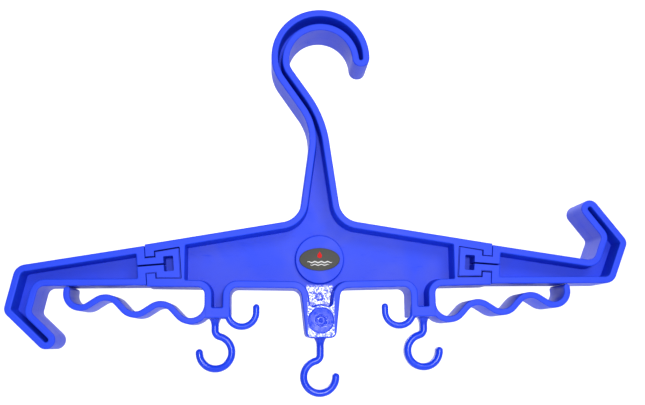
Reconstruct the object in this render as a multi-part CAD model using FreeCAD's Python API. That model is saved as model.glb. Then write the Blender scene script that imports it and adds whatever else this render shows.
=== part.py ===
import FreeCAD, Part
import math
import os

# Multi-purpose drying hanger: one ribbed centre moulding with a hanging hook, two spring racks,
# two J-hooks and three small lower hooks, and two identical arms whose T-shaped roots slide into
# slots in the ends of the body. Millimetres and degrees, +Z up, +X to the right, front face at -Y.
# Everything is drawn about the body's centre line and moved at the end, so that the part's origin
# is the centre of the hanging hook's round seat, at mid-depth.

Vector = FreeCAD.Vector

# ---- whole moulding
depth = 36.0                # front face to back face
web = 3.0                   # wall at mid-depth that closes every pocket
rim = 5.15                  # raised rim round the pockets
edge_round = 0.8            # small corners of the outline

# ---- body
body_half_length = 126.9    # centre line to the end face, at the height of the arm's axis
end_corner = 0.3            # corners of the end face
top_at_centre = 36.4        # top edge produced to the centre line
top_fall = 9.27             # slope of the top edge, falling outwards
bottom_at_centre = -17.2    # bottom edge produced to the centre line
bottom_rise = 0.95          # slope of the bottom edge, rising outwards
end_block = 28.1            # solid end of the body, which holds the T-slot
boss_radius = 18.0          # round boss behind the badge
boss_rise = 3.0             # boss above the web
boss_height = 5.3

# ---- outer tabs and centre tab
tab_inner = 66.1            # centre line to the tab's inner side
tab_outer = 84.4            # centre line to the tab's outer side
tab_bottom = -38.0
tab_fillet = 5.3            # where a tab leaves the bottom edge
tab_land = 7.5              # solid foot of an outer tab
centre_tab_half = 14.7      # half width where it leaves the body
centre_tab_foot_half = 10.8
centre_tab_bottom = -53.0
centre_tab_fillet = 6.5
centre_tab_corner = 4.5
centre_land_top = -30.6     # front land that carries the gate disc
gate_height = -40.2
gate_radius = 9.3
gate_recess = 0.6
gate_shoulder = 2.2         # land round the gate disc
land_plate = 4.0            # thickness of the front land, cored from behind

# ---- neck and hanging hook
neck_half = 12.0            # half width at the reference height
neck_reference = 60.0
neck_taper = 8.14           # lean of each side of the neck
neck_fillet = 16.0
hook_height = 155.6         # centre of the round seat above the body's datum
hook_offset = 1.5           # centre of the round seat beside the centre line
seat_radius = 24.0
crown = 16.2                # hook thickness at its top
left_cheek = 13.6
right_cheek = 13.2
tip_drop = 4.5              # hook tip below the centre of the seat
shank_drop = 4.2            # inner corner of the shank below the centre of the seat
shank_lean = 34.6
shank_width = 13.2
shank_bend_inner = 85.0
shank_bend_outer = 41.0
hook_split = 47.0           # height of the plane between the body and the hook node

# ---- arms, in their own frame: s along the arm from the body's end face, t towards the hook
arm_axis_height = 0.2       # arm axis at the body's end face
arm_droop = 4.5             # fall of the arm axis
arm_root_half = 14.45
arm_taper = 4.4             # each side of the arm towards its axis
arm_reach = 92.4            # length to the outer corner
arm_rim = 5.0
arm_end_wall = 6.4
limb_lean = 17.3
limb_width = 19.6
finger_angle = 132.0        # direction of the fingertip limb from the arm axis
finger_width = 13.3
finger_end_s = 73.2         # centre of the round fingertip
finger_end_t = 47.2
arm_heel_round = 9.0
arm_knuckle_round = 6.5
arm_palm_round = 4.0
arm_crook_round = 5.5
body_gap = 0.35             # between the arm's shoulder and the body's end face

# ---- T-slot and T-head
slot_lip = 0.5              # lip round the back of the slot, which stops the T-root
slot_lip_depth = 1.5
slot_overrun = 2.0          # cut past the body's end face
slot_neck = 6.5             # length of the slot's narrow part
slot_head = 18.6            # length of its wide part
slot_neck_half = 6.3
slot_head_half = 10.1       # half height where the head meets the neck
slot_taper = 4.8
near_clearance = 0.3        # T-head to slot on the hook side
far_clearance = 0.8         # and on the other side
head_pocket_half = 5.5
head_pocket_length = 7.0
head_wall = 5.2             # T-head wall beyond its pocket
slit = 1.2                  # relief slit along the T's neck

# ---- J-hooks, round rod flush with the front face
j_rod = 4.8
j_radius = 10.4
j_reach = 57.4              # centre line to the centre of the bend
j_bend_height = -33.9
j_tip_rise = 3.4

# ---- lower hooks, rounded bar at mid-depth
bar_width = 5.3
bar_depth = 11.0
ring_radius = 11.85         # centre line of the ring
ring_bend = 4.8
ring_turn = 75.0            # how far the stem turns before it enters the ring
lower_hook_x = 77.4
outer_stem = 8.6
centre_stem = 12.0
flare_width = 9.0
flare_depth = 15.0
flare_length = 5.5

# ---- spring racks, a waved strip of the full depth
strip = 4.6
root_round = 10.0           # inside of the bend where the strip leaves the tab
root_turn = 75.0            # how much of that bend belongs to the body
root_height = -40.1         # middle of the strip at its lowest point
wave_round = 11.3           # middle of the strip in each bend
wave_slope = 40.1           # steepest slope against the rack's own line
wave_run = 7.0              # straight between two bends
loop_round = 10.2           # last bend, up to the arm
loop_end = 97.0             # heading of the tip
loop_run = 1.6              # straight at the tip
knuckle_gap = 0.3
arm_gap = 0.35              # tip of the rack to the underside of the arm
tilt_steps = 30

# ---- badge
badge_width = 30.3
badge_height = 16.9
badge_thickness = 0.9

face = depth / 2
floor = web / 2


def at(x, z, y=0.0):
    return Vector(x, y, z)


def heading(angle):
    return Vector(math.cos(math.radians(angle)), 0, math.sin(math.radians(angle)))


def slope(angle):
    return math.tan(math.radians(angle))


def meet(p, d, q, e):
    """Point where the line through p along d crosses the line through q along e."""
    across = d.x * e.z - d.z * e.x
    gap = q - p
    return p + d * ((gap.x * e.z - gap.z * e.x) / across)


def corner(point, radius=0.0):
    return (point.x, point.z, radius)


def outline(corners):
    """Closed wire through the corners (x, z, radius), each one rounded to its radius."""
    rounds = []
    count = len(corners)
    for i in range(count):
        here = at(*corners[i][:2])
        back = at(*corners[i - 1][:2]) - here
        ahead = at(*corners[(i + 1) % count][:2]) - here
        back.normalize()
        ahead.normalize()
        radius = corners[i][2]
        half = back.getAngle(ahead) / 2
        middle = back + ahead
        middle.normalize()
        reach = radius / math.tan(half)
        crest = here + middle * (radius / math.sin(half) - radius)
        rounds.append((here + back * reach, crest, here + ahead * reach, radius))
    edges = []
    for i in range(count):
        start, crest, end, radius = rounds[i]
        if radius > 0:
            edges.append(Part.Arc(start, crest, end).toShape())
        following = rounds[(i + 1) % count][0]
        if (following - end).Length > 1e-4:
            edges.append(Part.LineSegment(end, following).toShape())
    return Part.Wire(edges)


def prism(wire, front, back):
    """Solid between two depths on the outline given."""
    base = Part.Face(wire)
    base.translate(at(0, 0, front))
    return base.extrude(at(0, 0, back - front))


def block(x0, x1, z0, z1, front=-depth, back=depth):
    return Part.makeBox(x1 - x0, back - front, z1 - z0, at(x0, z0, front))


def disc(x, z, radius, front, back):
    return Part.makeCylinder(radius, back - front, at(x, z, front), at(0, 0, 1))


def mirrored(shape):
    return shape.mirror(at(0, 0), Vector(1, 0, 0))


def inset(wire, distance):
    return wire.makeOffset2D(-distance, 0, False, False, False)


# ---------------------------------------------------------------- centre moulding

def top_edge(x):
    return top_at_centre - slope(top_fall) * x


def bottom_edge(x):
    return bottom_at_centre + slope(bottom_rise) * x


def neck_line():
    """A point and a direction of the neck's right side."""
    return at(neck_half, neck_reference), heading(90 + neck_taper)


def half_outline():
    """Corners of the body's right half, from the neck round to the centre tab's foot."""
    point, direction = neck_line()
    top = at(0, top_at_centre), heading(-top_fall)
    bottom = at(0, bottom_at_centre), heading(bottom_rise)
    end_face = at(body_half_length, arm_axis_height), heading(90 - arm_droop)
    return [
        corner(meet(point, direction, *top), neck_fillet),
        corner(meet(*top, *end_face), end_corner),
        corner(meet(*bottom, *end_face), end_corner),
        (tab_outer, bottom_edge(tab_outer), tab_fillet),
        (tab_outer, tab_bottom, edge_round),
        (tab_inner, tab_bottom, edge_round),
        (tab_inner, bottom_edge(tab_inner), tab_fillet),
        (centre_tab_half, bottom_edge(centre_tab_half), centre_tab_fillet),
        (centre_tab_foot_half, centre_tab_bottom, centre_tab_corner),
    ]


def moulding_outline():
    """The whole centre moulding, clockwise from the top of the hanging hook."""
    right_in = hook_offset + seat_radius
    left_in = hook_offset - seat_radius
    right_out = right_in + right_cheek
    left_out = left_in - left_cheek
    outer_radius = (right_out - left_out) / 2
    tip_radius = right_cheek / 2
    seat_top = hook_height + seat_radius
    hook_top = seat_top + crown
    tip = hook_height - tip_drop
    point, direction = neck_line()
    left_point = at(-point.x, point.z)
    left_direction = heading(90 - neck_taper)
    down_shank = heading(-90 + shank_lean)
    inner_shoulder = at(left_in, hook_height - shank_drop)
    across = heading(180 + shank_lean)
    outer_line = inner_shoulder + across * shank_width
    outer_shoulder = meet(outer_line, down_shank, at(left_out, 0), heading(90))
    inner_bend = meet(inner_shoulder, down_shank, point, direction)
    outer_bend = meet(outer_line, down_shank, left_point, left_direction)
    flare = math.degrees(math.asin(max(tip_radius - tip_drop, 0) / seat_radius))
    seat_end = at(hook_offset, hook_height) + heading(flare) * seat_radius
    down_tip = heading(flare - 90)
    inner_tip = meet(seat_end, down_tip, at(0, tip), heading(0))
    seat_corner = meet(seat_end, down_tip, at(0, seat_top), heading(0))
    bend = slope(shank_lean / 2)
    shoulder_inner = shank_drop / bend
    shoulder_outer = (hook_top - outer_radius - outer_shoulder.z) / bend
    hook = [
        (left_out, hook_top, outer_radius),
        (right_out, hook_top, outer_radius),
        (right_out, tip, tip_radius),
        corner(inner_tip, tip_radius),
        corner(seat_corner, seat_radius),
        (left_in, seat_top, seat_radius),
        corner(inner_shoulder, shoulder_inner),
        corner(inner_bend, shank_bend_inner),
    ]
    right = half_outline()
    left = [(-x, z, radius) for x, z, radius in reversed(right)]
    shank = [corner(outer_bend, shank_bend_outer), corner(outer_shoulder, shoulder_outer)]
    return outline(hook + right + left + shank)


def centre_moulding():
    """Rims, web, tabs and hook in one piece, with the pockets and the T-slots cut."""
    edge = moulding_outline()
    inner = inset(edge, rim)
    solid = prism(edge, -face, face)
    pocket_end = body_half_length - end_block
    kept = []
    for side in (-1, 1):
        start, end = sorted((side * pocket_end, side * 2 * body_half_length))
        kept.append(block(start, end, -2 * depth, 2 * depth))
        start, end = sorted((side * tab_inner, side * tab_outer))
        kept.append(block(start, end, tab_bottom, tab_bottom + tab_land))
    front_land = block(-tab_inner, tab_inner, 2 * centre_tab_bottom, centre_land_top)
    front_land = front_land.fuse(disc(0, gate_height, gate_radius + gate_shoulder, -depth, depth))
    front_pocket = prism(inner, -face, -floor).cut(kept + [front_land])
    back_pocket = prism(inner, floor, face).cut(kept)
    core_top = centre_land_top - land_plate
    core = prism(inner, -face + land_plate, face)
    core = core.common(block(-tab_inner, tab_inner, 2 * centre_tab_bottom, core_top))
    solid = solid.cut([front_pocket, back_pocket, core])
    solid = solid.fuse(disc(0, boss_height, boss_radius, -floor - boss_rise, floor + boss_rise))
    solid = solid.cut(disc(0, gate_height, gate_radius, -face, -face + gate_recess))
    slot = prism(tee(0, 0, slot_overrun), -face, face - slot_lip_depth)
    slot = place_arm(slot.fuse(prism(tee(slot_lip, slot_lip, slot_overrun), -face, face)))
    return solid.cut([slot, mirrored(slot)])


# ---------------------------------------------------------------- arms

def arm_half(s):
    return arm_root_half - slope(arm_taper) * s


def tee(near, far, shoulder_overrun):
    """T-shape in the arm's frame: the slot, or with clearances the arm's own root."""
    ease = (near + far) / 2
    head_end = -slot_neck - slot_head + ease
    head_start = -slot_neck - ease
    half_end = slot_head_half + slope(slot_taper) * slot_head
    return outline([
        (shoulder_overrun, slot_neck_half - near, 0),
        (head_start, slot_neck_half - near, 0),
        (head_start, slot_head_half - near, 0),
        (head_end, half_end - near, edge_round),
        (head_end, far - half_end, edge_round),
        (head_start, far - slot_head_half, 0),
        (head_start, far - slot_neck_half, 0),
        (shoulder_overrun, far - slot_neck_half, 0),
    ])


def arm_outline():
    """Tapered arm, the limb across its end and the fingertip that turns back over it."""
    limb = heading(90 - limb_lean)
    heel = at(arm_reach, -arm_half(arm_reach))
    inside_limb = heel + heading(180 - limb_lean) * limb_width
    finger = heading(finger_angle)
    outward = heading(finger_angle - 90)
    half = finger_width / 2
    finger_end = at(finger_end_s, finger_end_t)
    outer_tip = finger_end + (outward + finger) * half
    inner_tip = finger_end + (finger - outward) * half
    hook_side = at(0, arm_half(0))
    knuckle = meet(heel, limb, outer_tip, finger)
    palm = meet(inside_limb, limb, inner_tip, finger)
    crook = meet(inside_limb, limb, hook_side, heading(-arm_taper))
    return outline([
        (body_gap, -arm_half(body_gap), end_corner),
        corner(heel, arm_heel_round),
        corner(knuckle, arm_knuckle_round),
        corner(outer_tip, half),
        corner(inner_tip, half),
        corner(palm, arm_palm_round),
        corner(crook, arm_crook_round),
        (body_gap, arm_half(body_gap), end_corner),
    ])


def arm():
    """One arm in its own frame. Its root is stepped at both ends, so it fits either way round."""
    edge = arm_outline()
    seat = face - slot_lip_depth - near_clearance
    near_step = near_clearance + slot_lip
    far_step = far_clearance + slot_lip
    root = prism(tee(near_clearance, far_clearance, arm_end_wall), -seat, seat)
    root_ends = prism(tee(near_step, far_step, arm_end_wall), -face, face)
    solid = prism(edge, -face, face).fuse([root, root_ends]).removeSplitter()
    inner = inset(edge, arm_rim)
    pocket_near = -slot_neck - slot_head + head_wall
    head_pocket = outline([
        (pocket_near, -head_pocket_half, edge_round),
        (pocket_near + head_pocket_length, -head_pocket_half, edge_round),
        (pocket_near + head_pocket_length, head_pocket_half, edge_round),
        (pocket_near, head_pocket_half, edge_round),
    ])
    end_wall = block(-depth, arm_end_wall, -depth, depth)
    slit_start = pocket_near + head_pocket_length / 2
    for front, back in ((-face, -floor), (floor, face)):
        pocket = prism(inner, front, back).cut(end_wall)
        slot = block(slit_start, arm_end_wall + 1, -slit / 2, slit / 2, front, back)
        solid = solid.cut([pocket, prism(head_pocket, front, back), slot])
    return solid


def place_arm(shape):
    """Moves a shape from the arm's frame to the right end of the body, hook side up."""
    placed = shape.copy()
    placed.rotate(at(0, 0), Vector(0, 1, 0), arm_droop)
    placed.translate(at(body_half_length, arm_axis_height))
    return placed


def left_hand(shape):
    """The same arm turned over and carried round to the left end, so its hook points down."""
    turned = shape.copy()
    turned.rotate(at(0, 0), Vector(1, 0, 0), 180)
    turned = place_arm(turned)
    turned.rotate(at(0, 0), Vector(0, 0, 1), 180)
    return turned


def arm_underside(x):
    """Height of the arm's lower edge at a distance x from the centre line."""
    below = at(body_half_length, arm_axis_height) + heading(-90 - arm_droop) * arm_root_half
    return below.z - slope(arm_droop - arm_taper) * (x - below.x)


# ---------------------------------------------------------------- rods and racks

def trace(start, angle, moves):
    """Edges of a path from start: each move is a straight length or a bend (radius, turn)."""
    edges = []
    place = start
    for move in moves:
        if isinstance(move, tuple):
            radius, turn = move
            side = math.copysign(90, turn)
            centre = place + heading(angle + side) * radius
            halfway = centre - heading(angle + side + turn / 2) * radius
            end = centre - heading(angle + side + turn) * radius
            edges.append(Part.Arc(place, halfway, end).toShape())
            angle += turn
        else:
            end = place + heading(angle) * move
            edges.append(Part.LineSegment(place, end).toShape())
        place = end
    return edges, place, angle


def band(start, angle, moves, width):
    """Closed outline of a strip of even width along a path."""
    half = width / 2
    sides = []
    for side in (90, -90):
        shifted = []
        for move in moves:
            if isinstance(move, tuple):
                radius, turn = move
                inside = math.copysign(1, turn) * side > 0
                shifted.append((radius - half if inside else radius + half, turn))
            else:
                shifted.append(move)
        sides.append(trace(start + heading(angle + side) * half, angle, shifted))
    _, end, last = trace(start, angle, moves)
    near = Part.LineSegment(start + heading(angle + 90) * half, start + heading(angle - 90) * half)
    far = Part.LineSegment(sides[0][1], sides[1][1])
    edges = sides[0][0] + sides[1][0] + [near.toShape(), far.toShape()]
    return Part.Wire(Part.sortEdges(edges)[0]), end, last


def stadium(width, thickness, place):
    """Level section of a bar, width along X and thickness along Y, with round front and back."""
    half = width / 2
    flat = thickness / 2 - half
    right = (at(half, 0, -flat), at(half, 0, flat))
    left = (at(-half, 0, flat), at(-half, 0, -flat))
    edges = [
        Part.LineSegment(*right).toShape(),
        Part.Arc(right[1], at(0, 0, flat + half), left[0]).toShape(),
        Part.LineSegment(*left).toShape(),
        Part.Arc(left[1], at(0, 0, -flat - half), right[0]).toShape(),
    ]
    wire = Part.Wire(edges)
    wire.translate(place)
    return wire


def j_hook():
    """Right-hand J-hook, from the foot of the outer tab round to its upturned tip."""
    lift = -face + j_rod / 2
    start = at(j_reach + j_radius, j_bend_height)
    edges, end, _ = trace(start, -90, [(j_radius, -180), j_tip_rise])
    section = Part.Wire(Part.makeCircle(j_rod / 2, start, Vector(0, 0, 1)))
    rod = Part.Wire(edges).makePipeShell([section], True, True)
    rod = rod.fuse(Part.makeSphere(j_rod / 2, end))
    rod.translate(at(0, 0, lift))
    tab = block(tab_inner, tab_outer, tab_bottom, bottom_edge(tab_inner))
    return rod.cut(tab).removeSplitter()


def lower_hook(x, top, stem):
    """Flared stem under a tab, a quick bend to the left and a ring that opens to the right."""
    start = at(x, top)
    moves = [stem, (ring_bend, -ring_turn), (ring_radius, 180 + ring_turn)]
    edges, end, _ = trace(start, -90, moves)
    bar = Part.Wire(edges).makePipeShell([stadium(bar_width, bar_depth, start)], True, True)
    flat = bar_depth / 2 - bar_width / 2
    cap = Part.makeCylinder(bar_width / 2, 2 * flat, end + at(0, 0, -flat), at(0, 0, 1))
    cap = cap.fuse([Part.makeSphere(bar_width / 2, end + at(0, 0, y)) for y in (-flat, flat)])
    foot = start - at(0, flare_length)
    sections = [stadium(flare_width, flare_depth, start), stadium(bar_width, bar_depth, foot)]
    flare = Part.makeLoft(sections, True)
    return bar.fuse([cap, flare]).removeSplitter()


def rack_moves(tilt):
    """Bends and straights of a rack from the pivot at its lowest point to its tip."""
    swing = 2 * wave_slope
    moves = [(wave_round, wave_slope + tilt)]
    for turn in (-swing, swing, -swing):
        moves += [wave_run, (wave_round, turn)]
    return moves + [wave_run, (loop_round, loop_end + wave_slope - tilt), loop_run]


def rack_pivot():
    return at(tab_outer + root_round, root_height)


def rack_tilt():
    """Tilt of the rack's line that brings its tip just under the arm, found in a few steps."""
    tilt = 0.0
    for _ in range(tilt_steps):
        _, end, _ = trace(rack_pivot(), 0, rack_moves(tilt))
        shortfall = arm_underside(end.x) - arm_gap - strip / 2 - end.z
        tilt += math.degrees(shortfall / (end.x - rack_pivot().x))
    return tilt


def rack_root():
    """Bend between the outer tab and the pivot, ending in a round seat for the rack."""
    pivot = rack_pivot()
    radius = root_round + strip / 2
    centre = pivot + at(0, radius)
    start = centre + heading(-90 - root_turn) * radius
    wire, _, _ = band(start, -root_turn, [(radius, root_turn)], strip)
    seat = disc(pivot.x, pivot.z, strip / 2 + knuckle_gap, -depth, depth)
    return prism(wire, -face, face).cut(seat)


def rack():
    """Right-hand rack, from its round knuckle at the pivot to its tip under the arm."""
    pivot = rack_pivot()
    wire, end, _ = band(pivot, 0, rack_moves(rack_tilt()), strip)
    strip_solid = prism(wire, -face, face)
    rounds = [disc(place.x, place.z, strip / 2, -face, face) for place in (pivot, end)]
    return strip_solid.fuse(rounds).removeSplitter()


def badge():
    oval = Part.Ellipse(at(0, 0), badge_width / 2, badge_height / 2)
    wire = Part.Wire(oval.toShape())
    wire.rotate(at(0, 0), Vector(1, 0, 0), 90)
    back = -floor - boss_rise
    plate = prism(wire, back - badge_thickness, back)
    plate.translate(at(0, boss_height))
    return plate


# ---------------------------------------------------------------- assembly

def build():
    moulding = centre_moulding().removeSplitter()
    above = block(-body_half_length, body_half_length, hook_split, 2 * hook_height)
    root = rack_root()
    body = moulding.cut(above).fuse([root, mirrored(root)]).removeSplitter()
    one_arm = arm()
    one_rack = rack()
    one_j = j_hook()
    outer_hook = lower_hook(lower_hook_x, tab_bottom, outer_stem)
    return {
        "centre_body": body,
        "hanging_hook": moulding.common(above),
        "left_j_hook": mirrored(one_j),
        "right_j_hook": one_j,
        "left_lower_hook": mirrored(outer_hook),
        "centre_lower_hook": lower_hook(0, centre_tab_bottom, centre_stem),
        "right_lower_hook": outer_hook,
        "left_rack": mirrored(one_rack),
        "right_rack": one_rack,
        "left_arm": left_hand(one_arm),
        "right_arm": place_arm(one_arm),
        "badge": badge(),
    }


os.makedirs("parts", exist_ok=True)
for name, shape in build().items():
    shape.translate(at(-hook_offset, -hook_height))
    shape.exportStep("parts/" + name + ".step")
    box = shape.BoundBox
    print(name, shape.ShapeType, len(shape.Solids), shape.isValid(), round(shape.Volume / 1000, 2), "cm3",
          [round(v, 2) for v in (box.XMin, box.XMax, box.YMin, box.YMax, box.ZMin, box.ZMax)])
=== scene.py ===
import math

import bmesh
import bpy
from mathutils import Matrix, Vector


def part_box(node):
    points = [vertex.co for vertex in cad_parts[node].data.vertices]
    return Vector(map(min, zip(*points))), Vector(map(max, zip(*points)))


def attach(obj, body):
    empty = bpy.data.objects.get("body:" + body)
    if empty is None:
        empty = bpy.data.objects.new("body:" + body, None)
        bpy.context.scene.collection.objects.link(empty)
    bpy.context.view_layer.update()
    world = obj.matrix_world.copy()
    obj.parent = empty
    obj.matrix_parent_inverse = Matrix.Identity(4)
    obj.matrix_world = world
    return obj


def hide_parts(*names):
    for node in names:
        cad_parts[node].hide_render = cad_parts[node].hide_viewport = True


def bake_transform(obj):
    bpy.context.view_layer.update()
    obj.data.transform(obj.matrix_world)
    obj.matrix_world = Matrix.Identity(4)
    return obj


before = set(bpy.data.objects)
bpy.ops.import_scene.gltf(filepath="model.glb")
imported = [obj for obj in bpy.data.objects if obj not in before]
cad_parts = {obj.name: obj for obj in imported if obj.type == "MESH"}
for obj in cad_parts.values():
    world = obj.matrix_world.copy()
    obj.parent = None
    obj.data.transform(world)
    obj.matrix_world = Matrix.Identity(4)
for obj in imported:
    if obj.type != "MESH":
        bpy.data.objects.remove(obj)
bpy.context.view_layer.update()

# Multi-hook drying hanger. Shapes are drawn in millimetres about the body's centre line, X to the
# right and Z up, with the front at -Y, and each finished piece is put into the CAD frame in metres.

body_low, body_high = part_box("centre_body")

mm = 0.001
face = body_high.y / mm             # half the moulding's depth
body_half = 126.9                   # to the end face, at the height of the arm's axis
centre_tab_bottom = -53.0
drawing_origin = Vector(((body_low.x + body_high.x) / 2, 0, body_low.z - centre_tab_bottom * mm))
to_frame = Matrix.Translation(drawing_origin) @ Matrix.Scale(mm, 4)

# ---- moulding
web_face = 1.5                      # half the web at mid-depth
rim = 5.15
rim_round = 0.85                    # soft edge of every rim
hold = 0.2                          # narrow strip that keeps the flats flat beside a rounding
pocket_draft = 0.15
pocket_fillet = 0.75
small_corner = 0.8
end_corner = 0.3                    # corners where the body and the arm meet
parting_rise = 0.05                 # witness line of the mould at mid-depth
parting_half = 0.14
smooth_to = 32.0                    # degrees between faces; a sharper edge stays crisp
weld = 0.004                        # points nearer than this are one point

# ---- body
top_at_centre, top_fall = 36.4, 9.27
bottom_at_centre, bottom_rise = -17.2, 0.95
pocket_end = body_half - 28.1
boss_height, boss_radius, boss_face = 5.3, 18.0, 4.5
tab_inner, tab_outer, tab_bottom, tab_fillet, tab_land = 66.1, 84.4, -38.0, 5.3, 7.5
centre_tab_half, centre_tab_foot = 14.7, 10.8
centre_tab_fillet, centre_tab_corner = 6.5, 4.5
gate_height, gate_radius, gate_recess = -40.2, 9.3, 0.6
land_round = 11.5                   # the land's edge runs round the gate disc
land_crest = 13.8                   # where that edge's two slopes would meet, above the disc
land_corner = 2.4
core_top, core_floor, core_step = -34.6, -14.0, 1.0
polished_half = 9.8                 # the mould is polished round its gate
pin_radius = 3.0                    # marks of the ejector pins
front_pin = (-0.3, -22.5)
back_pins = ((-88, 2), (-50, 4), (50, 4), (88, 2), (0, 45))

# ---- neck and hanging hook
neck_half, neck_height, neck_taper, neck_fillet = 12.0, 60.0, 8.14, 16.0
hook_height = -drawing_origin.z / mm
hook_offset = -drawing_origin.x / mm
seat_radius, crown, left_cheek, right_cheek = 24.0, 16.2, 13.6, 13.2
tip_drop, shank_drop, shank_lean, shank_width = 4.5, 4.2, 34.6, 13.2
shank_bend_inner, shank_bend_outer = 85.0, 41.0

# ---- arms, in their own frame: s along the arm, t towards its hook
arm_height, arm_droop = 0.2, 4.5
arm_root_half, arm_taper, arm_reach, arm_rim, arm_end_wall = 14.45, 4.4, 92.4, 5.0, 6.4
limb_lean, limb_width = 17.3, 19.6
finger_angle, finger_width, finger_s, finger_t = 132.0, 13.3, 73.2, 47.2
heel_round, knuckle_round, palm_round, crook_round = 9.0, 6.5, 4.0, 5.5
shoulder_gap = 0.35
neck_length, head_length, root_neck_half, root_head_half, head_taper = 6.5, 18.6, 6.3, 10.1, 4.8
near_clearance, far_clearance, lip, lip_depth = 0.3, 0.8, 0.5, 1.5
head_pocket_half, head_pocket_length, head_wall, slit = 5.5, 7.0, 5.2, 1.2
slot_ease, shoulder_ease = 0.15, 0.4

# ---- rods, small hooks and racks
j_rod, j_radius, j_reach, j_height, j_rise = 4.8, 10.4, 57.4, -33.9, 3.4
j_lean, j_lean_radius, j_set_back = 20.0, 15.0, 0.08
bar_width, bar_depth, ring_radius, ring_bend, ring_turn = 5.3, 11.0, 11.85, 4.8, 75.0
lower_hook_x, outer_stem, centre_stem = 77.4, 8.6, 12.0
flare_width, flare_depth, flare_length = 9.0, 15.0, 5.5
stem_root = 1.5                     # start of a stem inside its tab
strip, root_round, root_height = 4.6, 10.0, -40.1
strip_edge, root_thinner = 0.75, 0.16
wave_round, wave_slope, wave_run = 11.3, 40.1, 7.0
loop_round, loop_end, loop_run, arm_gap = 10.2, 97.0, 1.6, 0.35
root_turn = 88.0


# ---------------------------------------------------------------- outlines

def slope(angle):
    return math.tan(math.radians(angle))


def heading(angle):
    return Vector((math.cos(math.radians(angle)), math.sin(math.radians(angle))))


def meet(p, d, q, e):
    """Point where the line through p along d crosses the line through q along e."""
    gap = q - p
    return p + d * (gap.cross(e) / d.cross(e))


def corner(point, radius, ease=1.0):
    """A corner of an outline: its radius, and how soft the side that follows it is."""
    return (point[0], point[1], radius, ease)


def turns_left(corners):
    total = 0.0
    for here, ahead in zip(corners, corners[1:] + corners[:1]):
        total += here[0] * ahead[1] - ahead[0] * here[1]
    return total > 0


def moved(corners, grow):
    """The outline with its sides moved outwards, and its radii changed to suit."""
    outward = 1 if turns_left(corners) else -1
    sides = []
    for here, ahead in zip(corners, corners[1:] + corners[:1]):
        along = (Vector(ahead[:2]) - Vector(here[:2])).normalized()
        normal = Vector((along.y, -along.x)) * outward
        sides.append((Vector(here[:2]) + normal * grow * here[3], along))
    result = []
    for i, (_, _, radius, ease) in enumerate(corners):
        back, ahead = sides[i - 1], sides[i]
        bulges = back[1].cross(ahead[1]) * outward > 0
        if radius:
            softness = min(ease, corners[i - 1][3])
            radius = max(radius + (grow if bulges else -grow) * softness, 0.03)
        result.append(corner(meet(*back, *ahead), radius, ease))
    return result


def outline(corners, grow):
    """Points round the outline. Their number doesn't depend on grow."""
    points = []
    grown = moved(corners, grow)
    for i, (x, z, radius, _) in enumerate(grown):
        here = Vector((x, z))
        if not radius:
            points.append(here)
            continue
        back = (Vector(grown[i - 1][:2]) - here).normalized()
        ahead = (Vector(grown[(i + 1) % len(grown)][:2]) - here).normalized()
        half = back.angle(ahead) / 2
        turn = math.pi - 2 * half
        turn = math.copysign(turn, (-back).cross(ahead))
        centre = here + (back + ahead).normalized() * (radius / math.sin(half))
        start = here + back * (radius / math.tan(half)) - centre
        steps = math.ceil(max(abs(turn) / math.radians(20), corners[i][2] * abs(turn) / 1.6))
        for k in range(steps + 1):
            spun = Matrix.Rotation(turn * k / steps, 2) @ start
            points.append(centre + spun)
    return points


def circle(x, z, radius, steps):
    spots = [360 * k / steps for k in range(steps)]
    return [Vector((x, z)) + heading(angle) * radius for angle in spots]


def at_depth(points, y):
    return [Vector((p.x, y, p.y)) for p in points]


# ---------------------------------------------------------------- modelling helpers

def new_work():
    work = bmesh.new()
    work.verts.layers.int.new("spot")
    return work


def skin(work, rings):
    """Walls from each ring of points to the next. Gives the edges of the first and last ring."""
    spot = work.verts.layers.int["spot"]
    verts = []
    for i, point in enumerate(rings[0]):
        vert = work.verts.new(point)
        vert[spot] = i
        verts.append(vert)
    first = [work.edges.new((verts[i - 1], verts[i])) for i in range(len(verts))]
    edges = first
    for ring in rings[1:]:
        made = bmesh.ops.extrude_edge_only(work, edges=edges)["geom"]
        fresh = {part for part in made if isinstance(part, bmesh.types.BMVert)}
        for vert in fresh:
            vert.co = ring[vert[spot]]
        edges = [e for e in made if isinstance(e, bmesh.types.BMEdge) and set(e.verts) <= fresh]
    return first, edges


def fill(work, *loops):
    """Flat faces between loops of edges: the first is the outside, the others are holes."""
    edges = [edge for loop in loops for edge in loop]
    bmesh.ops.triangle_fill(work, use_beauty=True, edges=edges)


def soft_edge(size):
    """(inset, depth) from the flat of a rim round its edge to the wall."""
    steps = 4
    turns = [math.radians(90 * k / steps) for k in range(steps + 1)]
    rounded = [(size * (1 - math.sin(a)), size * (1 - math.cos(a))) for a in turns]
    return [(size + hold, 0.0)] + rounded + [(0.0, size + hold)]


def shell(work, stages):
    """Outer walls through stages (corners, depth), softened at both faces.

    Gives the edges round the front flat and the back flat.
    """
    front, back = stages[0][0], stages[-1][0]
    rings = [at_depth(outline(front, -inset), -face + depth) for inset, depth in soft_edge(rim_round)]
    rings += [at_depth(outline(corners, rise), depth) for corners, depth, rise in stages]
    ending = reversed(soft_edge(rim_round))
    rings += [at_depth(outline(back, -inset), face - depth) for inset, depth in ending]
    return skin(work, rings)


def parting(corners):
    """Stages over the mould's witness line at mid-depth."""
    edge = parting_half + hold
    line = [(-edge, 0.0), (-parting_half, 0.0), (0.0, parting_rise), (parting_half, 0.0), (edge, 0.0)]
    return [(corners, depth, rise) for depth, rise in line]


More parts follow.
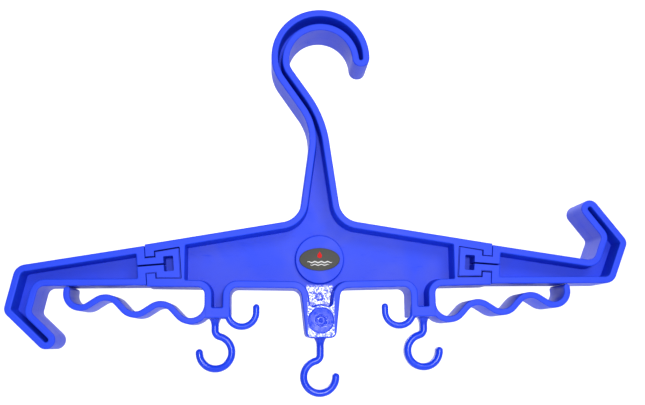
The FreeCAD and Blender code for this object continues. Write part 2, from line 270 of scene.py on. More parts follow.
def pocket(work, corners, side):
    """Walls of a pocket from the face down to its floor; side is -1 at the front, 1 at the back.

    The rings of the fillet run from the floor up, so they fold back inside the wall, out of sight.
    """
    rings = []
    for inset, depth in soft_edge(rim_round):
        rings.append(at_depth(outline(corners, inset), side * (face - depth)))
    for inset, depth in reversed(soft_edge(pocket_fillet)[1:]):
        rise = pocket_fillet - inset
        low = web_face + pocket_fillet - depth
        rings.append(at_depth(outline(corners, -pocket_draft - rise), side * low))
    last = outline(corners, -pocket_draft - pocket_fillet - hold / 2)
    rings.append(at_depth(last, side * web_face))
    return skin(work, rings)


def turned(work, x, z, profile, steps):
    """Round feature about an axis along Y: (radius, depth) from its rim to its middle."""
    rings = [at_depth(circle(x, z, radius, steps), y) for radius, y in profile]
    rim_edges, middle = skin(work, rings)
    fill(work, middle)
    return rim_edges


def finished(work, name, material):
    """Closes the work into a mesh object whose place is in its mesh."""
    bmesh.ops.remove_doubles(work, verts=work.verts, dist=weld)
    bmesh.ops.dissolve_degenerate(work, edges=work.edges, dist=weld / 4)
    bmesh.ops.recalc_face_normals(work, faces=work.faces)
    mesh = bpy.data.meshes.new(name)
    work.to_mesh(mesh)
    work.free()
    mesh.transform(to_frame)
    mesh.shade_smooth()
    mesh.set_sharp_from_angle(angle=math.radians(smooth_to))
    mesh.materials.append(material)
    piece = bpy.data.objects.new(name, mesh)
    bpy.context.scene.collection.objects.link(piece)
    return piece


# ---------------------------------------------------------------- centre moulding

def top_edge(x, inset=0.0):
    return top_at_centre - slope(top_fall) * x - inset / math.cos(math.radians(top_fall))


def bottom_edge(x, inset=0.0):
    return bottom_at_centre + slope(bottom_rise) * x + inset / math.cos(math.radians(bottom_rise))


def mirrored(corners):
    """Left-hand corners, in the order that closes the outline. Each side keeps its ease."""
    flipped = []
    for i, (x, z, radius, _) in enumerate(corners):
        ease = corners[i - 1][3] if i else 1.0
        flipped.append((-x, z, radius, ease))
    return flipped[::-1]


def neck_side():
    return Vector((neck_half, neck_height)), heading(90 + neck_taper)


def placed(s, t):
    """From the arm's frame to the right end of the body."""
    along, across = heading(-arm_droop), heading(90 - arm_droop)
    return Vector((body_half, arm_height)) + along * s + across * t


def root_tee(near, far):
    """T-shape of the slot, or of the arm's root, in the arm's frame, from the hook side round."""
    loosen = (near + far) / 2
    start = -neck_length - loosen
    end = -neck_length - head_length + loosen
    half_end = root_head_half + slope(head_taper) * head_length
    return [
        (start, root_neck_half - near, 0.0, slot_ease),
        (start, root_head_half - near, 0.0, slot_ease),
        (end, half_end - near, small_corner, slot_ease),
        (end, far - half_end, small_corner, slot_ease),
        (start, far - root_head_half, 0.0, slot_ease),
        (start, far - root_neck_half, 0.0, slot_ease),
    ]


def end_face():
    """The body's end stands square to the arm's axis."""
    return placed(0, 0), heading(90 - arm_droop)


def slot_corners(inset):
    """The T-slot as a notch in the body's right end, from the top round to the bottom."""
    tee = root_tee(inset, inset)
    ends = [(0.0, tee[0][1], 0.0, slot_ease)] + tee + [(0.0, tee[-1][1], 0.0, shoulder_ease)]
    return [corner(placed(s, t), radius, ease) for s, t, radius, ease in ends]


def hook_corners():
    """Corners of the hanging hook: its round, then the two sides of its shank."""
    right_in, left_in = hook_offset + seat_radius, hook_offset - seat_radius
    right_out, left_out = right_in + right_cheek, left_in - left_cheek
    outer_radius = (right_out - left_out) / 2
    seat_top = hook_height + seat_radius
    hook_top = seat_top + crown
    tip = hook_height - tip_drop
    tip_radius = right_cheek / 2
    flare = math.degrees(math.asin(max(tip_radius - tip_drop, 0) / seat_radius))
    seat_end = Vector((hook_offset, hook_height)) + heading(flare) * seat_radius
    down_tip = heading(flare - 90)
    level = Vector((1, 0))
    inner_tip = meet(seat_end, down_tip, Vector((0, tip)), level)
    seat_corner = meet(seat_end, down_tip, Vector((0, seat_top)), level)
    point, direction = neck_side()
    down = heading(-90 + shank_lean)
    inner_shoulder = Vector((left_in, hook_height - shank_drop))
    outer_line = inner_shoulder + heading(180 + shank_lean) * shank_width
    outer_shoulder = meet(outer_line, down, Vector((left_out, 0)), heading(90))
    inner_bend = meet(inner_shoulder, down, point, direction)
    outer_bend = meet(outer_line, down, Vector((-point.x, point.y)), heading(90 - neck_taper))
    bend = slope(shank_lean / 2)
    round_part = [
        corner((left_out, hook_top), outer_radius),
        corner((right_out, hook_top), outer_radius),
        corner((right_out, tip), tip_radius),
        corner(inner_tip, tip_radius),
        corner(seat_corner, seat_radius),
        corner((left_in, seat_top), seat_radius),
        corner(inner_shoulder, shank_drop / bend),
        corner(inner_bend, shank_bend_inner),
    ]
    shank = [
        corner(outer_bend, shank_bend_outer),
        corner(outer_shoulder, (hook_top - outer_radius - outer_shoulder.y) / bend),
    ]
    return round_part, shank


def armpit():
    point, direction = neck_side()
    return corner(meet(point, direction, Vector((0, top_at_centre)), heading(-top_fall)), neck_fillet)


def moulding_corners(slot_inset=None):
    """Outline of the centre moulding, clockwise; with the T-slots, or plain for the pockets."""
    top = Vector((0, top_at_centre)), heading(-top_fall)
    bottom = Vector((0, bottom_at_centre)), heading(bottom_rise)
    right = [armpit(), corner(meet(*top, *end_face()), end_corner, shoulder_ease)]
    if slot_inset is not None:
        right += slot_corners(slot_inset)
    right += [
        corner(meet(*bottom, *end_face()), end_corner),
        corner((tab_outer, bottom_edge(tab_outer)), tab_fillet),
        corner((tab_outer, tab_bottom), small_corner),
        corner((tab_inner, tab_bottom), small_corner),
        corner((tab_inner, bottom_edge(tab_inner)), tab_fillet),
        corner((centre_tab_half, bottom_edge(centre_tab_half)), centre_tab_fillet),
        corner((centre_tab_foot, centre_tab_bottom), centre_tab_corner),
    ]
    hook, shank = hook_corners()
    return hook + right + mirrored(right) + shank


def pocket_corners(side):
    """Outline of the body's pocket; only the front one stops at the centre tab's land."""
    inner = moved(moulding_corners(), -rim)
    hook = len(hook_corners()[0])
    tab_edge = inner[hook + 7]
    foot = inner[hook + 8]
    right = [
        inner[hook],
        corner((pocket_end, top_edge(pocket_end, rim)), small_corner),
        corner((pocket_end, bottom_edge(pocket_end, rim)), small_corner),
        inner[hook + 3],
        corner((tab_outer - rim, tab_bottom + tab_land), small_corner),
        corner((tab_inner + rim, tab_bottom + tab_land), small_corner),
        inner[hook + 6],
        tab_edge,
    ]
    if side < 0:
        edge = Vector(tab_edge[:2])
        down = Vector(foot[:2]) - edge
        crest = Vector((0, gate_height + land_crest))
        fall = math.degrees(math.acos(land_round / land_crest))
        land = [
            corner(meet(edge, down, crest, heading(-fall)), land_corner),
            corner(crest, land_round),
        ]
        left = mirrored(right + land[:1])
        right += land
    else:
        right.append(corner(foot[:2], small_corner))
        left = mirrored(right)
    return inner[:hook] + right + left + inner[-2:]


def core_corners():
    """Outline of the deep core behind the gate disc's land."""
    inner = moved(moulding_corners(), -rim - core_step)
    hook = len(hook_corners()[0])
    edge, foot = Vector(inner[hook + 7][:2]), Vector(inner[hook + 8][:2])
    upper = meet(edge, foot - edge, Vector((0, core_top)), Vector((1, 0)))
    right = [corner(upper, small_corner), corner(foot, small_corner)]
    return right + mirrored(right)


def boss(work, side):
    profile = [
        (boss_radius + 1.1, web_face),
        (boss_radius + 0.9, web_face),
        (boss_radius + 0.35, web_face + 0.15),
        (boss_radius + 0.08, web_face + 0.6),
        (boss_radius, web_face + 1.1),
        (boss_radius, boss_face - 0.75),
        (boss_radius - 0.05, boss_face - 0.5),
        (boss_radius - 0.2, boss_face - 0.15),
        (boss_radius - 0.5, boss_face),
        (boss_radius - 0.7, boss_face),
    ]
    return turned(work, 0, boss_height, [(r, side * y) for r, y in profile], steps=120)


def gate_disc(work):
    """Sunk disc with the raised ring and dimple of the moulding gate."""
    sunk = face - gate_recess
    profile = [
        (gate_radius + 0.35, face),
        (gate_radius + 0.2, face),
        (gate_radius + 0.05, face - 0.08),
        (gate_radius, face - 0.25),
        (gate_radius - 0.08, sunk + 0.08),
        (gate_radius - 0.3, sunk),
        (gate_radius - 0.5, sunk - 0.01),
        (4.7, sunk - 0.6),
        (4.5, sunk - 0.6),
        (4.25, sunk - 0.5),
        (4.1, sunk - 0.2),
        (3.9, sunk - 0.1),
        (3.5, sunk - 0.1),
        (3.3, sunk - 0.2),
        (3.1, sunk - 0.55),
        (2.9, sunk - 0.63),
        (1.75, sunk - 0.7),
        (1.55, sunk - 0.6),
        (1.3, sunk - 0.3),
        (1.05, sunk - 0.28),
        (0.7, sunk - 0.6),
        (0.25, sunk - 0.75),
    ]
    return turned(work, 0, gate_height, [(r, -y) for r, y in profile], steps=72)


def pin_mark(work, x, z, side):
    """Witness of an ejector pin in a pocket floor."""
    profile = [
        (pin_radius + 0.4, web_face),
        (pin_radius + 0.2, web_face),
        (pin_radius + 0.1, web_face + 0.02),
        (pin_radius, web_face + 0.14),
        (pin_radius - 0.15, web_face + 0.14),
        (pin_radius - 0.25, web_face - 0.12),
        (pin_radius - 0.45, web_face - 0.16),
        (0.6, web_face - 0.16),
    ]
    return turned(work, x, z, [(r, side * y) for r, y in profile], steps=32)


def make_centre_moulding(material):
    work = new_work()
    open_slot = moulding_corners(slot_inset=0.0)
    lipped_slot = moulding_corners(slot_inset=lip)
    lip_at = face - lip_depth
    stages = parting(open_slot) + [(open_slot, lip_at, 0.0), (lipped_slot, lip_at, 0.0)]
    front_flat, back_flat = shell(work, stages)
    front_top, front_floor = pocket(work, pocket_corners(-1), -1)
    fill(work, front_flat, front_top, gate_disc(work))
    fill(work, front_floor, boss(work, -1), pin_mark(work, *front_pin, -1))
    back_top, back_floor = pocket(work, pocket_corners(1), 1)
    fill(work, back_flat, back_top)
    core_rings = [
        at_depth(outline(core_corners(), grow), depth)
        for grow, depth in ((0.45, web_face), (0.3, web_face), (0.0, web_face - 0.4),
                            (-0.3, core_floor + 0.8), (-0.5, core_floor + 0.2), (-1.0, core_floor))
    ]
    core_mouth, core_end = skin(work, core_rings)
    marks = [pin_mark(work, x, z, 1) for x, z in back_pins]
    fill(work, back_floor, boss(work, 1), core_mouth, *marks)
    fill(work, core_end)
    piece = finished(work, "centre_moulding_shell", material)
    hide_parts("centre_body", "hanging_hook")
    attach(piece, "centre_moulding")
    return piece


# ---------------------------------------------------------------- arms

def arm_half(s):
    return arm_root_half - slope(arm_taper) * s


def arm_body():
    """Corners of the arm without its root, from the shoulder on the far side round the hook."""
    heel = Vector((arm_reach, -arm_half(arm_reach)))
    limb = heading(90 - limb_lean)
    inside_limb = heel + heading(180 - limb_lean) * limb_width
    finger = heading(finger_angle)
    outward = heading(finger_angle - 90)
    half = finger_width / 2
    finger_end = Vector((finger_s, finger_t))
    outer_tip = finger_end + (outward + finger) * half
    inner_tip = finger_end + (finger - outward) * half
    hook_side = Vector((0, arm_half(0)))
    return [
        corner((shoulder_gap, -arm_half(shoulder_gap)), end_corner),
        corner(heel, heel_round),
        corner(meet(heel, limb, outer_tip, finger), knuckle_round),
        corner(outer_tip, half),
        corner(inner_tip, half),
        corner(meet(inside_limb, limb, inner_tip, finger), palm_round),
        corner(meet(inside_limb, limb, hook_side, heading(-arm_taper)), crook_round),
        corner((shoulder_gap, arm_half(shoulder_gap)), end_corner, shoulder_ease),
    ]


def arm_corners(near, far):
    """The arm with its T-root."""
    tee = root_tee(near, far)
    upper = (shoulder_gap, tee[0][1], 0.0, slot_ease)
    lower = (shoulder_gap, tee[-1][1], 0.0, shoulder_ease)
    return arm_body() + [upper] + tee + [lower]


def arm_pocket():
    """Outline of the arm's pocket, which runs through the slit into the root's own pocket."""
    inner = moved(arm_body(), -arm_rim)
    wall = Vector((arm_end_wall, 0)), Vector((0, 1))
    ends = []
    for a, b in ((inner[0], inner[1]), (inner[-2], inner[-1])):
        along = Vector(b[:2]) - Vector(a[:2])
        ends.append(meet(Vector(a[:2]), along, *wall))
    near_end = -neck_length - head_length + head_wall
    far_end = near_end + head_pocket_length
    root_pocket = [
        (arm_end_wall, slit / 2, 0.0, slot_ease),
        (far_end, slit / 2, 0.0, slot_ease),
        (far_end, head_pocket_half, small_corner, slot_ease),
        (near_end, head_pocket_half, small_corner, slot_ease),
        (near_end, -head_pocket_half, small_corner, slot_ease),
        (far_end, -head_pocket_half, small_corner, slot_ease),
        (far_end, -slit / 2, 0.0, slot_ease),
        (arm_end_wall, -slit / 2, 0.0, 1.0),
    ]
    return [corner(ends[0], small_corner)] + inner[1:-1] + [corner(ends[1], small_corner)] + root_pocket


def on_side(corners, side):
    """Moves the arm's corners to the body's right end, or turned over to its left end."""
    result = []
    for s, t, radius, ease in corners:
        point = placed(s, t * side)
        result.append((point.x * side, point.y, radius, ease))
    return result


def make_arm(side, name, material):
    work = new_work()
    ends = on_side(arm_corners(near_clearance + lip, far_clearance + lip), side)
    middle = on_side(arm_corners(near_clearance, far_clearance), side)
    step = face - lip_depth - near_clearance
    stages = [(ends, -step, 0.0), (middle, -step, 0.0)]
    stages += parting(middle)
    stages += [(middle, step, 0.0), (ends, step, 0.0)]
    flats = shell(work, stages)
    for flat, way in zip(flats, (-1, 1)):
        top, floor = pocket(work, on_side(arm_pocket(), side), way)
        fill(work, flat, top)
        fill(work, floor)
    piece = finished(work, name + "_shell", material)
    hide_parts(name)
    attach(piece, name)
    return piece


# ---------------------------------------------------------------- rods, small hooks and racks

def walk(start, angle, moves, pace=1.1):
    """Places and headings along a path: each move is a straight length or a bend (radius, turn)."""
    place = Vector(start)
    spots = [(place, angle)]
    for move in moves:
        if isinstance(move, tuple):
            radius, turn = move
            side = math.copysign(90, turn)
            centre = place + heading(angle + side) * radius
            count = math.ceil(max(radius * math.radians(abs(turn)) / pace, abs(turn) / 12))
            for k in range(1, count + 1):
                now = angle + turn * k / count
                spots.append((centre - heading(now + side) * radius, now))
            angle += turn
        else:
            count = math.ceil(move / pace)
            for k in range(1, count + 1):
                spots.append((place + heading(angle) * move * k / count, angle))
        place = spots[-1][0]
    return spots


def bar_section(width, depth, radius):
    """Rounded section of a bar: across its width and along the depth."""
    radius = min(radius, width / 2)
    points = []
    for across, deep, first in ((1, 1, 0), (-1, 1, 90), (-1, -1, 180), (1, -1, 270)):
        middle = Vector((across * (width / 2 - radius), deep * (depth / 2 - radius)))
        for k in range(7):
            points.append(middle + heading(first + 15 * k) * radius)
    return points


def sweep(work, stations):
    """Bar through stations (place, angle, width, depth, radius, y), closed at both ends."""
    rings = []
    for place, angle, width, depth, radius, y in stations:
        across = heading(angle + 90)
        ring = []
        for point in bar_section(width, depth, radius):
            spot = place + across * point.x
            ring.append(Vector((spot.x, y + point.y, spot.y)))
        rings.append(ring)
    start, end = skin(work, rings)
    fill(work, start)
    fill(work, end)


def round_tip(place, angle, width, depth, radius, y, narrowing):
    """Stations that close the end of a bar in a half round."""
    result = []
    for turn in (18, 36, 54, 70, 82):
        reach, left = heading(turn).y, heading(turn).x
        spot = place + heading(angle) * (width / 2 * reach)
        loss = 2 * narrowing * (1 - left)
        result.append((spot, angle, width * left, depth - loss, radius * left, y))
    return result


def make_j_hook(side, name, material):
    work = new_work()
    level = -face + j_rod / 2 + j_set_back
    run_in = walk((j_reach + j_radius, j_height), 90, [(j_lean_radius, -j_lean)])
    stations = [(place, angle + 180) for place, angle in reversed(run_in)]
    stations += walk((j_reach + j_radius, j_height), -90, [(j_radius, -180), j_rise])[1:]
    stations = [(p, a, j_rod, j_rod, j_rod / 2, level) for p, a in stations]
    end, angle = stations[-1][:2]
    stations += round_tip(end, angle, j_rod, j_rod, j_rod / 2, level, j_rod / 2)
    sweep(work, stations)
    return place_rod(work, side, name, material)


def place_rod(work, side, name, material):
    """Mirrors a right-hand rod when it belongs to the left, and finishes it."""
    if side < 0:
        bmesh.ops.scale(work, vec=(-1, 1, 1), verts=work.verts)
    piece = finished(work, name + "_rod", material)
    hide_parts(name)
    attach(piece, "centre_moulding")
    return piece


def make_lower_hook(x, top, stem, side, name, material):
    work = new_work()
    spots = walk((x, top + stem_root), -90, [stem_root + stem, (ring_bend, -ring_turn),
                                             (ring_radius, 180 + ring_turn)], pace=0.8)
    stations = []
    for place, angle in spots:
        below = min(max((top - place.y) / flare_length, 0.0), 1.0) if abs(angle + 90) < 1 else 1.0
        left = (1 - below) ** 2
        width = bar_width + (flare_width - bar_width) * left
        depth = bar_depth + (flare_depth - bar_depth) * left
        stations.append((place, angle, width, depth, width / 2, 0.0))
    end, angle = spots[-1]
    stations += round_tip(end, angle, bar_width, bar_depth, bar_width / 2, 0.0, bar_width / 2)
    sweep(work, stations)
    return place_rod(work, side, name, material)


def rack_path(tilt):
    """Spots of a rack from inside the tab to its tip."""
    radius = root_round + strip / 2
    pivot = Vector((tab_outer + root_round, root_height))
    centre = pivot + Vector((0, radius))
    start = centre + heading(-90 - root_turn) * radius
    swing = 2 * wave_slope
    moves = [(radius, root_turn), (wave_round, wave_slope + tilt)]
    for turn in (-swing, swing, -swing):
        moves += [wave_run, (wave_round, turn)]
    moves += [wave_run, (loop_round, loop_end + wave_slope - tilt), loop_run]
    return walk(start, -root_turn, moves, pace=1.4)


def rack_tilt():
    """Tilt of the rack that brings its tip just under the arm, found in a few steps."""
    below = Vector((body_half, arm_height)) + heading(-90 - arm_droop) * arm_root_half
    pivot_x = tab_outer + root_round
    tilt = 0.0
    for _ in range(12):
        end = rack_path(tilt)[-1][0]
        underside = below.y - slope(arm_droop - arm_taper) * (end.x - below.x)
        shortfall = underside - arm_gap - strip / 2 - end.y
        tilt += math.degrees(shortfall / (end.x - pivot_x))
    return tilt


def make_rack(side, name, material):
    work = new_work()
    stations = []
    spots = rack_path(rack_tilt())
    for place, angle in spots:
        inside_tab = place.x < tab_outer
        depth = 2 * face - (root_thinner if inside_tab else 0.0)
        stations.append((place, angle, strip, depth, strip_edge, 0.0))
    end, angle = spots[-1]
    stations += round_tip(end, angle, strip, 2 * face, strip_edge, 0.0, strip_edge)
    sweep(work, stations)
    if side < 0:
        bmesh.ops.scale(work, vec=(-1, 1, 1), verts=work.verts)
    piece = finished(work, name + "_strip", material)
    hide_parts(name)
    start = drawing_origin + Vector((side * tab_outer * mm, 0, 0))
    end = start + Vector((side * 2 * root_round * mm, 0, 0))
    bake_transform(piece)
    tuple(end)
    return piece


# ---------------------------------------------------------------- badge

badge_low, badge_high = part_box("badge")
badge_half_width = (badge_high.x - badge_low.x) / 2 / mm
badge_half_height = (badge_high.z - badge_low.z) / 2 / mm
badge_front = badge_low.y / mm
dome_rise = 0.25
print_rise, print_root = 0.05, 0.2  # print above the dome, and its sides below it


def dome(x, z):
    """Front of the domed badge at a point."""
    reach = (x / badge_half_width) ** 2 + ((z - boss_height) / badge_half_height) ** 2
    return badge_front - dome_rise * max(0.0, 1 - reach)


def oval(scale, grow=0.0):
    points = []
    for k in range(96):
        way = heading(360 * k / 96)
        x = way.x * (badge_half_width * scale + grow)
        z = way.y * (badge_half_height * scale + grow) + boss_height
        points.append(Vector((x, z)))
    return points


def make_badge(material):
    work = new_work()
    rings = [at_depth(oval(1.0), -boss_face + 0.05), at_depth(oval(1.0), badge_front + 0.25)]
    rings.append(at_depth(oval(1.0, -0.08), badge_front + 0.07))
    for scale in (0.98, 0.95, 0.9, 0.8, 0.7, 0.6, 0.5, 0.4, 0.3, 0.2, 0.1):
        rings.append([Vector((p.x, dome(p.x, p.y), p.y)) for p in oval(scale)])
    back, middle = skin(work, rings)
    fill(work, back)
    fill(work, middle)
    piece = finished(work, "badge_dome", material)
    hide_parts("badge")
    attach(piece, "centre_moulding")
    return piece


def make_print(name, loops, material):
    """Thin raised print on the dome, through closed loops of points."""
    work = new_work()
    for points in loops:
        rings = []
        for rise in (-print_root, print_rise):
            rings.append([Vector((p.x, dome(p.x, p.y) - rise, p.y)) for p in points])
        back, front = skin(work, rings)
        fill(work, back)
        fill(work, front)
    piece = finished(work, name, material)
    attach(piece, "centre_moulding")
    return piece


def drop_outline():
    """A water drop, point upwards."""
    radius, height = 1.75, 3.3
    centre = Vector((0, boss_height + 2.6))
    touch = math.degrees(math.asin(radius / height))
    points = [centre + Vector((0, height))]
    sweep_angle = 180 + 2 * touch
    for k in range(25):
        points.append(centre + heading(180 - touch + sweep_angle * k / 24) * radius)
    return points


def wave_outline(half, thickness, height, swing, length):
    """A level wavy line of even thickness with tapered ends."""
    upper, lower = [], []
    count = 48
    for k in range(count + 1):
        x = -half + 2 * half * k / count
        middle = height + swing * math.sin(2 * math.pi * x / length)
        thick = thickness / 2 * (1 - abs(x / half) ** 6) + 0.04
        upper.append(Vector((x, middle + thick)))
        lower.append(Vector((x, middle - thick)))
    return upper + lower[::-1]


# ---------------------------------------------------------------- materials

def node_group(name, inputs, outputs):
    group = bpy.data.node_groups.new(name, "ShaderNodeTree")
    for label, kind, value in inputs:
        socket = group.interface.new_socket(name=label, in_out="INPUT", socket_type=kind)
        socket.default_value = value
    for label, kind in outputs:
        group.interface.new_socket(name=label, in_out="OUTPUT", socket_type=kind)
    start = group.nodes.new("NodeGroupInput")
    end = group.nodes.new("NodeGroupOutput")
    return group, start, end


def add(tree, kind, **settings):
    node = tree.nodes.new(kind)
    for key, value in settings.items():
        if key in node.bl_rna.properties:
            setattr(node, key, value)
        else:
            node.inputs[key.replace("_", " ")].default_value = value
    return node


def link(tree, source, target):
    tree.links.new(source, target)


def moulded_skin():
    """Surface of injection-moulded plastic: satin grain, broad flow marks and fine scuffs."""
    group, start, end = node_group(
        "moulded_skin",
        [("Grain", "NodeSocketFloat", 0.5), ("Scuffs", "NodeSocketFloat", 0.5)],
        [("Tone", "NodeSocketFloat"), ("Height", "NodeSocketFloat"), ("Wear", "NodeSocketFloat")],
    )
    place = add(group, "ShaderNodeTexCoord").outputs["Object"]
    grain = add(group, "ShaderNodeTexNoise", Scale=2600.0, Detail=3.0, Roughness=0.6)
    flow = add(group, "ShaderNodeTexNoise", Scale=26.0, Detail=2.0, Distortion=0.8)
    orange = add(group, "ShaderNodeTexNoise", Scale=320.0, Detail=2.0)
    long_way = add(group, "ShaderNodeMapping", Scale=(90.0, 90.0, 900.0), Rotation=(0.3, 0.5, 0.4))
    scratch = add(group, "ShaderNodeTexNoise", Scale=1.0, Detail=2.0, Distortion=1.2)
    for texture in (grain, flow, orange):
        link(group, place, texture.inputs["Vector"])
    link(group, place, long_way.inputs["Vector"])
    link(group, long_way.outputs["Vector"], scratch.inputs["Vector"])
    fine = add(group, "ShaderNodeMath", operation="MULTIPLY")
    link(group, grain.outputs["Fac"], fine.inputs[0])
    link(group, start.outputs["Grain"], fine.inputs[1])
    height = add(group, "ShaderNodeMath", operation="ADD")
    link(group, fine.outputs[0], height.inputs[0])
    link(group, orange.outputs["Fac"], height.inputs[1])
    lines = map_range(group, scratch.outputs["Fac"], 0.66, 0.74, 0, 1)
    wear = add(group, "ShaderNodeMath", operation="MULTIPLY")
    link(group, lines, wear.inputs[0])
    link(group, start.outputs["Scuffs"], wear.inputs[1])
    link(group, flow.outputs["Fac"], end.inputs["Tone"])
    link(group, height.outputs[0], end.inputs["Height"])
    link(group, wear.outputs[0], end.inputs["Wear"])
    return group


def new_material(name):
    material = bpy.data.materials.new(name)
    material.use_nodes = True
    tree = material.node_tree
    tree.nodes.clear()
    surface = add(tree, "ShaderNodeBsdfPrincipled")
    output = add(tree, "ShaderNodeOutputMaterial")
    link(tree, surface.outputs["BSDF"], output.inputs["Surface"])
    return material, tree, surface


def blend_colour(tree, factor, first, second):
    mix = add(tree, "ShaderNodeMix", data_type="RGBA")
    mix.inputs["A"].default_value = (*first, 1)
    mix.inputs["B"].default_value = (*second, 1)
    link(tree, factor, mix.inputs["Factor"])
    return [s for s in mix.outputs if s.type == "RGBA"][0]


def map_range(tree, value, low, high, to_low, to_high):
    node = add(tree, "ShaderNodeMapRange")
    node.inputs["From Min"].default_value = low
    node.inputs["From Max"].default_value = high
    node.inputs["To Min"].default_value = to_low
    node.inputs["To Max"].default_value = to_high
    link(tree, value, node.inputs["Value"])
    return node.outputs["Result"]


def polished_zone(tree):
    """Mask of the centre tab, where the mould is polished round its gate."""
    place = add(tree, "ShaderNodeTexCoord").outputs["Object"]
    parts = add(tree, "ShaderNodeSeparateXYZ")
    link(tree, place, parts.inputs[0])
    offset = add(tree, "ShaderNodeMath", operation="SUBTRACT")
    offset.inputs[1].default_value = drawing_origin.x
    link(tree, parts.outputs["X"], offset.inputs[0])
    across = add(tree, "ShaderNodeMath", operation="ABSOLUTE")
    link(tree, offset.outputs[0], across.inputs[0])
    half = polished_half * mm
    top = drawing_origin.z + (boss_height - boss_radius) * mm
    sides = map_range(tree, across.outputs[0], half + 0.0003, half - 0.0003, 0, 1)
    below = map_range(tree, parts.outputs["Z"], top, top - 0.002, 0, 1)
    mask = add(tree, "ShaderNodeMath", operation="MULTIPLY")
    link(tree, sides, mask.inputs[0])
    link(tree, below, mask.inputs[1])
    return place, mask.outputs[0]


def polish(tree, surface, rough, height):
    """Turns the zone round the gate glossy and slightly rippled."""
    place, mask = polished_zone(tree)
    ripple = add(tree, "ShaderNodeTexNoise", Scale=520.0, Detail=3.0, Distortion=1.5)
    link(tree, place, ripple.inputs["Vector"])
    glossy = map_range(tree, ripple.outputs["Fac"], 0.42, 0.62, 0.08, 0.42)
    mixed = add(tree, "ShaderNodeMix", data_type="FLOAT")
    link(tree, mask, mixed.inputs[0])
    link(tree, rough, mixed.inputs[2])
    link(tree, glossy, mixed.inputs[3])
    link(tree, mixed.outputs[0], surface.inputs["Roughness"])
    waves = add(tree, "ShaderNodeMath", operation="MULTIPLY")
    link(tree, ripple.outputs["Fac"], waves.inputs[0])
    link(tree, mask, waves.inputs[1])
    taller = add(tree, "ShaderNodeMath", operation="MULTIPLY")
    taller.inputs[1].default_value = 2.5
    link(tree, waves.outputs[0], taller.inputs[0])
    total = add(tree, "ShaderNodeMath", operation="ADD")
    link(tree, height, total.inputs[0])
    link(tree, taller.outputs[0], total.inputs[1])
    return total.outputs[0]


def plastic(name, skin_group, deep, light, gloss, satin, grain=0.5, scuffs=0.5, bump=0.12,
            shine=0.33, gate=False):
    """Glossy moulded plastic between two close tones."""
    material, tree, surface = new_material(name)
    mould = add(tree, "ShaderNodeGroup", node_tree=skin_group)
    mould.inputs["Grain"].default_value = grain
    mould.inputs["Scuffs"].default_value = scuffs
    colour = blend_colour(tree, map_range(tree, mould.outputs["Tone"], 0.3, 0.7, 0, 1), deep, light)
    link(tree, colour, surface.inputs["Base Color"])
    rough = add(tree, "ShaderNodeMath", operation="ADD")
    link(tree, map_range(tree, mould.outputs["Tone"], 0.35, 0.65, gloss, satin), rough.inputs[0])
    link(tree, map_range(tree, mould.outputs["Wear"], 0, 1, 0, 0.25), rough.inputs[1])
    link(tree, rough.outputs[0], surface.inputs["Roughness"])
    relief = add(tree, "ShaderNodeBump", Strength=bump, Distance=0.0001)
    height = mould.outputs["Height"]
    if gate:
        height = polish(tree, surface, rough.outputs[0], height)
    link(tree, height, relief.inputs["Height"])
    link(tree, relief.outputs["Normal"], surface.inputs["Normal"])
    surface.inputs["IOR"].default_value = 1.45
    surface.inputs["Specular IOR Level"].default_value = shine
    return material


# ---------------------------------------------------------------- assembly

skin_of_mould = moulded_skin()
deep_blue, light_blue = (0.003, 0.034, 0.6), (0.005, 0.043, 0.68)
blue = plastic("blue_plastic", skin_of_mould, deep_blue, light_blue, gloss=0.46, satin=0.54, gate=True)
glossy_blue = plastic("blue_rods", skin_of_mould, deep_blue, light_blue, gloss=0.16, satin=0.24)
label = plastic("badge_charcoal", skin_of_mould, (0.022, 0.022, 0.016), (0.032, 0.032, 0.024),
                gloss=0.45, satin=0.5, grain=0.2, scuffs=0.3, bump=0.05, shine=0.3)
red_ink = plastic("badge_red", skin_of_mould, (0.5, 0.0, 0.0), (0.57, 0.002, 0.002),
                  gloss=0.5, satin=0.6, bump=0.05, shine=0.15)
white_ink = plastic("badge_white", skin_of_mould, (0.55, 0.55, 0.54), (0.6, 0.6, 0.59),
                    gloss=0.5, satin=0.6, bump=0.05, shine=0.2)

make_centre_moulding(blue)
for side, word in ((-1, "left"), (1, "right")):
    make_arm(side, word + "_arm", blue)
    make_rack(side, word + "_rack", blue)
    make_j_hook(side, word + "_j_hook", glossy_blue)
    make_lower_hook(lower_hook_x, tab_bottom, outer_stem, side, word + "_lower_hook", glossy_blue)
make_lower_hook(0, centre_tab_bottom, centre_stem, 1, "centre_lower_hook", glossy_blue)
make_badge(label)
make_print("badge_drop", [drop_outline()], red_ink)
waves = [
    wave_outline(half=9.6, thickness=0.85, height=boss_height - 2.1, swing=0.42, length=4.8),
    wave_outline(half=7.2, thickness=0.65, height=boss_height - 4.1, swing=0.36, length=4.8),
]
make_print("badge_waves", waves, white_ink)


# ---------------------------------------------------------------- stage, light and camera

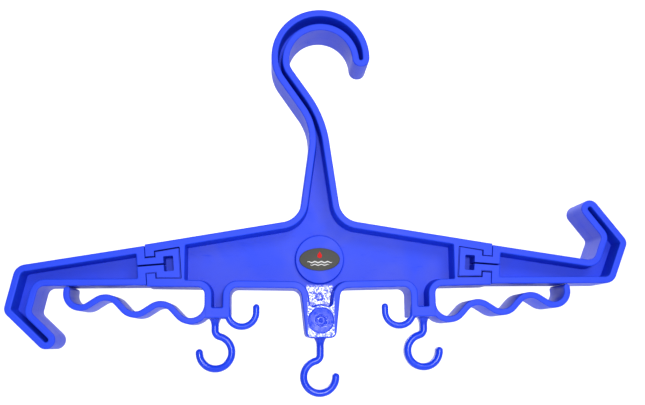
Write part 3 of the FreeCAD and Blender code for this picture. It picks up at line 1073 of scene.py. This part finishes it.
def make_stage():
    """Pale floor that sweeps up far behind the hanger."""
    material, _, surface = new_material("pale_paper")
    surface.inputs["Base Color"].default_value = (0.93, 0.93, 0.93, 1)
    surface.inputs["Roughness"].default_value = 0.9
    work = bmesh.new()
    floor_level, height, near, far, half, bend = -1.1, 4.0, -3.5, 2.4, 7.0, 0.8
    path = [(near, floor_level), (far - bend, floor_level)]
    for k in range(1, 13):
        turn = math.radians(90 * k / 12)
        path.append((far - bend + bend * math.sin(turn), floor_level + bend * (1 - math.cos(turn))))
    path.append((far, height))
    verts = [work.verts.new((-half, y, z)) for y, z in path]
    edges = [work.edges.new(pair) for pair in zip(verts, verts[1:])]
    made = bmesh.ops.extrude_edge_only(work, edges=edges)["geom"]
    fresh = [part for part in made if isinstance(part, bmesh.types.BMVert)]
    bmesh.ops.translate(work, vec=(2 * half, 0, 0), verts=fresh)
    mesh = bpy.data.meshes.new("stage")
    work.to_mesh(mesh)
    work.free()
    mesh.shade_smooth()
    mesh.materials.append(material)
    floor = bpy.data.objects.new("stage", mesh)
    bpy.context.scene.collection.objects.link(floor)


def area_light(name, place, target, size, power):
    data = bpy.data.lights.new(name, "AREA")
    data.shape = "RECTANGLE"
    data.size, data.size_y = size
    data.energy = power
    lamp = bpy.data.objects.new(name, data)
    lamp.location = place
    lamp.rotation_mode = "QUATERNION"
    lamp.rotation_quaternion = (Vector(target) - Vector(place)).to_track_quat("-Z", "Y")
    lamp.visible_camera = False
    bpy.context.scene.collection.objects.link(lamp)


def make_light():
    world = bpy.data.worlds.new("studio")
    world.use_nodes = True
    background = world.node_tree.nodes["Background"]
    background.inputs["Color"].default_value = (1, 1, 1, 1)
    background.inputs["Strength"].default_value = 0.58
    bpy.context.scene.world = world
    area_light("key", (0.6, -1.4, 0.7), (0, 0, -0.1), (0.6, 0.6), 10)
    area_light("softbox", (0.09, -1.6, -0.12), (0, 0, -0.16), (0.26, 0.26), 15)
    area_light("rear_fill", (-0.9, 1.3, 0.9), (0, 0, -0.1), (0.7, 0.7), 10)
    area_light("backdrop", (0, 0.5, 1.5), (0, 2.4, -0.3), (2.5, 0.6), 40)


def make_camera():
    data = bpy.data.cameras.new("camera")
    data.sensor_fit = "HORIZONTAL"
    data.sensor_width = 36.0
    data.lens = 50.23
    camera = bpy.data.objects.new("camera", data)
    turn = Matrix.Rotation(math.radians(-3.41), 4, "Z")
    tilt = Matrix.Rotation(math.radians(8.91), 4, "X")
    roll = Matrix.Rotation(math.radians(0.51), 4, "Y")
    upright = Matrix.Rotation(math.radians(90), 4, "X")
    camera.matrix_world = Matrix.Translation((-0.0389, -0.6749, -0.2125)) @ turn @ tilt @ roll @ upright
    bpy.context.scene.collection.objects.link(camera)
    bpy.context.scene.camera = camera


make_stage()
make_light()
make_camera()
bpy.context.scene.view_settings.view_transform = "Standard"
